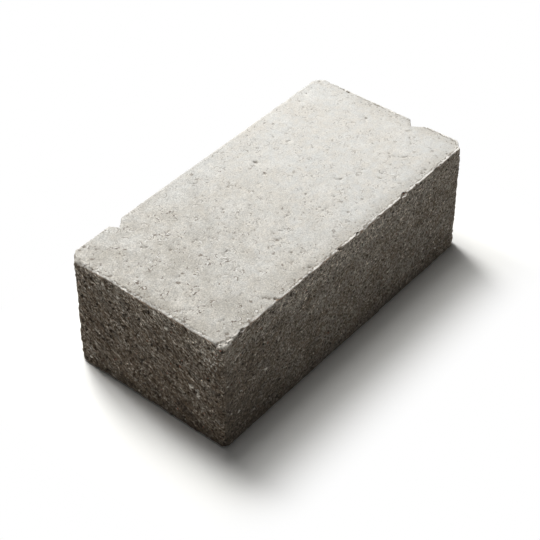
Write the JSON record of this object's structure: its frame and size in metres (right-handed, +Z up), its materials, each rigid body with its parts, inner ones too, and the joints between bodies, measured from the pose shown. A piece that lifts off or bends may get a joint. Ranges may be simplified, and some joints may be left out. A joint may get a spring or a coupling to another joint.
{
  "type": "concrete block",
  "caption": "Solid rectangular concrete building block with cut upright corners, worn arrises and chipped top edges, for laying in walls and edgings.",
  "frame": {"origin": "middle of the large face that the block lies on", "axes": "+X along the length, +Y across the width, +Z up from the face it lies on"},
  "size_m": [0.2, 0.1, 0.07],
  "materials": {
    "concrete": "matte"
  },
  "bodies": {
    "root": {"concrete_block": "concrete"}
  },
  "joints": []
}
